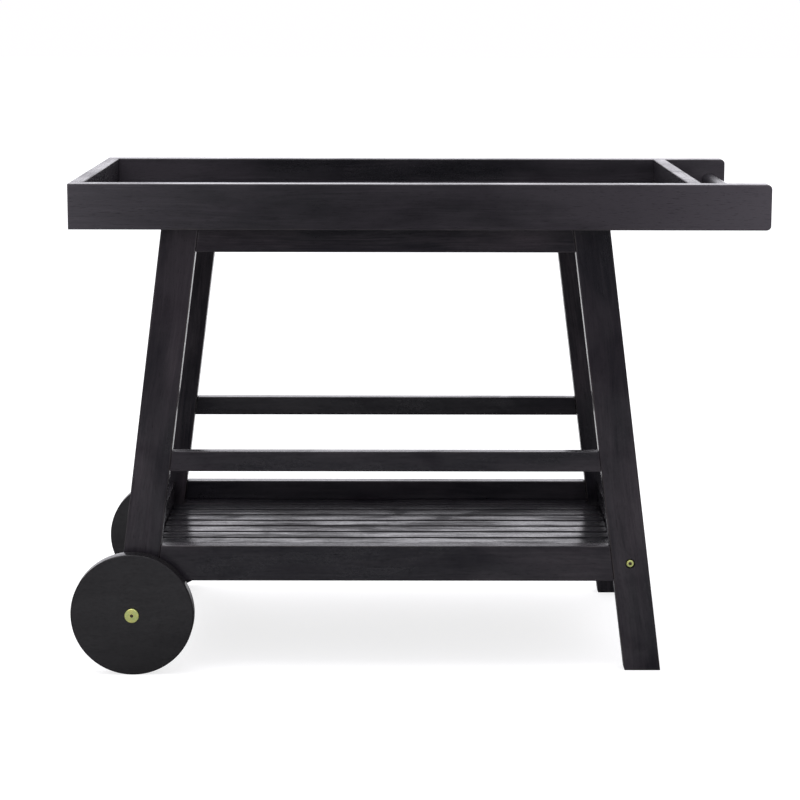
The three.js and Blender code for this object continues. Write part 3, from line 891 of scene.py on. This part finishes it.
choose(model, "faces", lambda face: face.normal.z < -SQUARE_ON and len(face.verts) == SCREW_SIDES
       and face.calc_area() < math.pi * RECESS_REACH ** 2)
extrude((0, 0, RECESS_DEPTH))
bpy.ops.transform.resize(value=(RECESS_TAPER, RECESS_TAPER, 1), center_override=(0, 0, 0))
bpy.ops.mesh.select_all(action="SELECT")
bpy.ops.mesh.normals_make_consistent(inside=False)
bpy.ops.object.mode_set(mode="OBJECT")
# The recess's floor is marked for painted shade.
recess_shade = model.data.attributes.new("recess_shade", "FLOAT", "POINT")
recess_shade.data.foreach_set("value", [
    float(abs(v.co.z - RECESS_DEPTH + SCREW_PROUD) < SPECK) for v in model.data.vertices])


def drive_screw(name, x, y, under, length):
    """A screw driven straight up from the underside of a board."""
    screw = bpy.data.objects.new(name, model.data.copy())
    bpy.context.collection.objects.link(screw)
    for v in screw.data.vertices:
        if v.co.z > MODEL_LENGTH / 2:
            v.co.z += length - MODEL_LENGTH
    screw.data.transform(Matrix.Translation((x, y, under)))
    finish_piece(screw, fixing_brass, CART, sharp=TURNED_SHARP)


BITE = 0.0065           # how far a screw goes into its slat
BATTEN_SCREW_SETBACK = 0.015    # clear of the cross rail that is under an end batten of the tray
MIDDLE_BATTEN_WITHIN = 0.1
for battens, slats in ((tray_battens, tray_slats), (shelf_battens, shelf_slats)):
    for batten in battens:
        low, high = corners_of(batten)
        x = (low.x + high.x) / 2
        if battens is tray_battens and abs(x) > MIDDLE_BATTEN_WITHIN:
            x -= math.copysign(BATTEN_SCREW_SETBACK, x)
        for slat in slats:
            y = middle(slat)[0].y
            if low.y < y < high.y:
                where = batten.replace("_batten_", "_") + "_" + slat[-2:]
                drive_screw("slat_screw_" + where, x, y, low.z, high.z - low.z + BITE)

TRAY_SCREW_BITE = 0.014
TRAY_SCREW_SPREAD = 0.3         # of the cross rail's length, either side of its middle
for end in ("left", "right"):
    rail_centre, rail_size = middle("apron_" + end)
    for side, outward in (("front", -1), ("back", 1)):
        drive_screw(f"tray_screw_{side}_{end}", rail_centre.x,
                    rail_centre.y + outward * TRAY_SCREW_SPREAD * rail_size.y,
                    rail_centre.z - rail_size.z / 2, rail_size.z + TRAY_SCREW_BITE)
bpy.data.objects.remove(model)


# ---- Floor, light and camera -----------------------------------------------------------------------------
# A plain pale floor that runs out of sight, a white room that is brightest behind the cart, and one
# broad soft light overhead. The floor glows of its own, painted light that keeps the shadow under the
# cart pale; in the cart's shine it shows painted shade in front of the cart and a painted glow behind
# it. The camera stands well back, a little above the tray.
FLOOR_SIZE = 60
FLOOR_GLOW = 0.75           # of its own, so the shadow under the cart stays light
FLOOR_PAINT = (0.36, 0.36, 0.36, 1)
FLOOR_PAINT_PALER = (0.39, 0.39, 0.39, 1)
# Painted shade: in the cart's shine the floor in front of the cart is drawn near black, as if that end of
# the room were in shade.
FLOOR_PAINTED_SHADE_IN_SHINE = (0.01, 0.01, 0.01, 1)       # how dark the cart's shine shows the floor past the camera
PAST_CAMERA = (-3.2, -2.5)      # along Y, where the floor is that dark in the shine, and where it isn't
FAR_BEHIND = (0.4, 1.6)         # along Y, where the floor's glow starts in the shine, and where it is full

bpy.ops.object.select_all(action="DESELECT")
bpy.ops.mesh.primitive_plane_add(size=FLOOR_SIZE, location=(0, 0, 0))
floor = bpy.context.object
floor.name = "floor"
floor_paint = bpy.data.materials.new("floor_paint")
floor_paint.use_nodes = True
tree = floor_paint.node_tree
shader = tree.nodes["Principled BSDF"]
place = place_node(tree, "TexCoord").outputs["Object"]
mottle = place_node(tree, "TexNoise", {"Vector": place, "Scale": 6.0, "Detail": 4.0})
paint = blend_values(tree, remap(tree, mottle.outputs["Fac"], 0.3, 0.7), FLOOR_PAINT,
                     FLOOR_PAINT_PALER)
ray = place_node(tree, "LightPath")
depth = place_node(tree, "SeparateXYZ", {"Vector": place}).outputs["Y"]
# Painted shade in the shine: glossy rays see the floor near black in front of the cart.
shade_in_shine = combine(tree, "MULTIPLY", ray.outputs["Is Glossy Ray"],
                      remap(tree, depth, *PAST_CAMERA, 1, 0))
tree.links.new(blend_values(tree, shade_in_shine, paint, FLOOR_PAINTED_SHADE_IN_SHINE), shader.inputs["Base Color"])
shader.inputs["Roughness"].default_value = 0.9
shader.inputs["Emission Color"].default_value = (1, 1, 1, 1)
# Painted glow: the floor glows for camera rays and, in the cart's shine, behind the cart.
mirrored = combine(tree, "MULTIPLY", ray.outputs["Is Glossy Ray"], remap(tree, depth, *FAR_BEHIND))
lit = combine(tree, "MAXIMUM", ray.outputs["Is Camera Ray"], mirrored)
tree.links.new(combine(tree, "MULTIPLY", lit, FLOOR_GLOW), shader.inputs["Emission Strength"])
floor.data.materials.append(floor_paint)

BRIGHT_SIDE = (0, 0.85, 0.5)        # the room's walls are brightest behind the cart, and above it
BRIGHT_SIDE_GLOW = 1.75
DARK_SIDE_GLOW = 1.2
DARK_TO_BRIGHT = (-0.4, 0.45)       # how far round to the bright side the glow starts and stops rising
SIDE_WALL_GLOW = 0.35               # of what would come from there if the side walls were white
SIDE_WALLS = (0.35, 0.8)            # how far round to the side the walls start to dim, and are dimmest
BACKDROP_GLOW = 1.06                # what the camera itself sees
ROOM_WHITE = (0.955, 0.94, 1.0, 1)

world = bpy.data.worlds.new("studio")
bpy.context.scene.world = world
world.use_nodes = True
tree = world.node_tree
background = tree.nodes["Background"]
towards = place_node(tree, "TexCoord").outputs["Generated"]
behind_and_above = place_node(tree, "VectorMath", {0: towards, 1: BRIGHT_SIDE},
                              operation="DOT_PRODUCT").outputs["Value"]
glow = remap(tree, behind_and_above, *DARK_TO_BRIGHT, DARK_SIDE_GLOW, BRIGHT_SIDE_GLOW)
sideways = place_node(tree, "Math", {0: place_node(tree, "SeparateXYZ", {"Vector": towards}).outputs["X"]},
                      operation="ABSOLUTE").outputs[0]
glow = combine(tree, "MULTIPLY", glow, remap(tree, sideways, *SIDE_WALLS, 1, SIDE_WALL_GLOW))
seen = place_node(tree, "LightPath").outputs["Is Camera Ray"]
tone = place_node(tree, "Mix", {0: seen, 2: glow, 3: BACKDROP_GLOW}, data_type="FLOAT").outputs[0]
tree.links.new(tone, background.inputs["Strength"])
background.inputs["Color"].default_value = ROOM_WHITE

LAMP_PLACE = (-0.8, -0.6, 3.2)
LAMP_TILT = (math.radians(-10), math.radians(-12), 0)
LAMP_LENGTH = 3.0
LAMP_WIDTH = 2.0
LAMP_WATTS = 60

overhead = bpy.data.lights.new("overhead", "AREA")
overhead.shape, overhead.size, overhead.size_y = "RECTANGLE", LAMP_LENGTH, LAMP_WIDTH
overhead.energy = LAMP_WATTS
overhead_lamp = bpy.data.objects.new("overhead", overhead)
overhead_lamp.location = LAMP_PLACE
overhead_lamp.rotation_euler = LAMP_TILT
bpy.context.collection.objects.link(overhead_lamp)

CAMERA_PLACE = (-0.0395, -3.8562, 1.0452)
CAMERA_TURN = 0.0041        # radians toward the handle end
CAMERA_TILT = 0.1712        # radians down
CAMERA_ROLL = 0.0021
SENSOR_WIDTH = 36
LENS_LENGTH = 108.8

lens = bpy.data.cameras.new("camera")
lens.sensor_width = SENSOR_WIDTH
lens.lens = LENS_LENGTH
camera = bpy.data.objects.new("camera", lens)
bpy.context.collection.objects.link(camera)
camera.location = CAMERA_PLACE
camera.rotation_euler = (Matrix.Rotation(-CAMERA_TURN, 3, "Z")
                         @ Matrix.Rotation(math.pi / 2 - CAMERA_TILT, 3, "X")
                         @ Matrix.Rotation(CAMERA_ROLL, 3, "Z")).to_euler()
bpy.context.scene.camera = camera
bpy.context.scene.view_settings.view_transform = "Standard"
